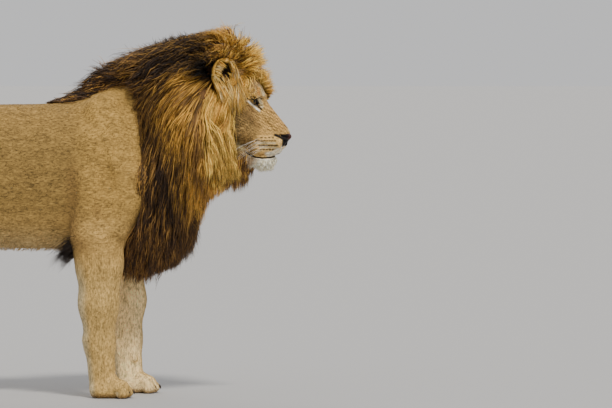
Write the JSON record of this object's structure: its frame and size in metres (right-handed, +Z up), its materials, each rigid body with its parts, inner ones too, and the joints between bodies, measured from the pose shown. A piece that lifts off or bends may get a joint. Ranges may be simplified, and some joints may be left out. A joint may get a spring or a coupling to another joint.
{
  "type": "lion",
  "caption": "Life-size standing male lion, a still museum-type model, head turned slightly to its right, with a full dark-backed mane and a hanging tufted tail.",
  "frame": {"origin": "on the floor under the middle of the lion's box", "axes": "+X from tail to nose, +Y to the lion's left, +Z up"},
  "size_m": [2.0222, 0.5128, 1.295],
  "materials": {
    "coat": "short tawny fur",
    "mane_gold": "long golden hair",
    "mane_dark": "long dark brown hair",
    "nose_leather": "moist satin",
    "eye": "polished"
  },
  "bodies": {
    "root": {"head": "coat", "lower_jaw": "coat", "foreleg_right_shoulder": "coat", "foreleg_right_forearm": "coat", "foreleg_right_wrist": "coat", "foreleg_right_paw": "coat", "foreleg_left_shoulder": "coat", "foreleg_left_forearm": "coat", "foreleg_left_wrist": "coat", "foreleg_left_paw": "coat", "hindleg_right_thigh": "coat", "hindleg_right_shank": "coat", "hindleg_right_metatarsus": "coat", "hindleg_right_paw": "coat", "hindleg_left_thigh": "coat", "hindleg_left_shank": "coat", "hindleg_left_metatarsus": "coat", "hindleg_left_paw": "coat", "chest": "coat", "belly": "coat", "rump": "coat", "tail_base": "coat", "tail_middle": "coat", "tail_end": "coat", "ear_right": "mane_gold", "ear_left": "mane_gold", "neck": "mane_gold", "mane_crown": "mane_gold", "mane_chest": "mane_dark", "mane_crest": "mane_dark", "elbow_tuft_right": "mane_dark", "elbow_tuft_left": "mane_dark", "tail_tuft": "mane_dark", "nose": "nose_leather", "eye_right": "eye", "eye_left": "eye"}
  },
  "joints": []
}
